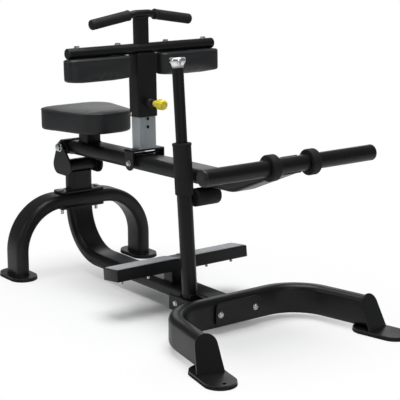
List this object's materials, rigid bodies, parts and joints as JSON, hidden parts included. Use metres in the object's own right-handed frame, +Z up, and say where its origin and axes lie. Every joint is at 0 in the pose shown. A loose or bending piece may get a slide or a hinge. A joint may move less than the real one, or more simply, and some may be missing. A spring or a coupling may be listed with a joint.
{
  "type": "seated calf raise machine",
  "caption": "Seated calf raise machine: pivoting arm with seat, adjustable knee pads and weight bar, on a bent tube frame with a footrest and a lockout lever.",
  "frame": {"origin": "centre of the bounding box, on the floor", "axes": "+X forward from the seat towards the weight bar, +Y to the sitting user's left, +Z up"},
  "size_m": [1.4436, 0.7964, 0.9887],
  "materials": {
    "black_paint": "satin black powder coat",
    "rubber": "matt black rubber",
    "black_plastic": "matt black plastic",
    "chrome": "bright plated steel",
    "grey_paint": "light grey painted steel",
    "tread_steel": "ribbed bare steel tread",
    "upholstery": "charcoal vinyl upholstery over foam",
    "yellow_plastic": "yellow plastic knob",
    "nylon": "dark nylon bush and wear pad"
  },
  "bodies": {
    "frame": {"main_tube": "black_paint", "rear_arch": "black_paint", "front_tube": "black_paint", "front_joint_plate": "black_paint", "rear_foot_right": "rubber", "rear_foot_left": "rubber", "front_foot_right": "rubber", "front_foot_left": "rubber", "front_joint_bolt_right": "chrome", "front_joint_bolt_left": "chrome", "flange_bolt_right": "chrome", "flange_bolt_left": "chrome", "rear_post": "black_paint", "pivot_axle": "chrome", "footrest_frame": "black_paint", "footrest_tread_right": "tread_steel", "footrest_tread_left": "tread_steel", "tread_bolt_1": "chrome", "tread_bolt_2": "chrome", "tread_bolt_3": "chrome", "tread_bolt_4": "chrome", "lever_bracket": "black_paint", "lever_pivot_bolt": "chrome"},
    "arm": {"arm_beam": "black_paint", "weight_bar": "black_paint", "pivot_bush_right": "nylon", "pivot_bush_left": "nylon", "weight_collar_right": "rubber", "weight_collar_left": "rubber", "weight_bar_cap_right": "black_plastic", "weight_bar_cap_left": "black_plastic", "seat_post": "black_paint", "seat_pad": "upholstery", "seat_board": "black_plastic", "knee_saddle": "black_paint", "saddle_bolt": "chrome", "knee_inner_tube": "grey_paint", "wear_pad": "nylon"},
    "knee_carriage": {"knee_sleeve": "black_paint", "knee_pad_right": "upholstery", "knee_pad_left": "upholstery", "knee_tube_cap_right": "black_plastic", "knee_tube_cap_left": "black_plastic", "knee_pad_bolt_1": "chrome", "knee_pad_bolt_2": "chrome", "knee_pad_bolt_3": "chrome", "knee_pad_bolt_4": "chrome", "hand_bar": "black_paint", "hand_grip_right": "rubber", "hand_grip_left": "rubber", "pin_boss": "black_plastic"},
    "pull_pin": {"pin_plunger": "chrome", "pin_knob": "yellow_plastic"},
    "lever": {"lever_tube": "black_paint", "lever_grip": "rubber", "lever_cap": "chrome", "roller_shaft": "chrome", "roller_spacer": "black_paint"},
    "roller": {"support_roller": "rubber"}
  },
  "joints": [
    {"name": "arm_pivot", "type": "hinge", "parent": "frame", "child": "arm", "pos_m": [-0.65083, 0, 0.459], "axis": [0, -1, 0], "range_deg": [0, 12]},
    {"name": "knee_height", "type": "slide", "parent": "arm", "child": "knee_carriage", "axis": [-0.0244, 0, 0.9997], "range_m": [-0.084, 0.056]},
    {"name": "pin_pull", "type": "slide", "parent": "knee_carriage", "child": "pull_pin", "axis": [0.9997, 0, 0.0244], "range_m": [0, 0.01], "stiffness_N_per_m": 1500, "springref_m": -0.004},
    {"name": "lever_swing", "type": "hinge", "parent": "frame", "child": "lever", "pos_m": [0.14417, -0.086, 0.067], "axis": [0, 1, 0], "range_deg": [0, 20]},
    {"name": "roller_spin", "type": "hinge", "parent": "lever", "child": "roller", "pos_m": [0.14869, 0, 0.41092], "axis": [0, 1, 0], "continuous": true}
  ]
}
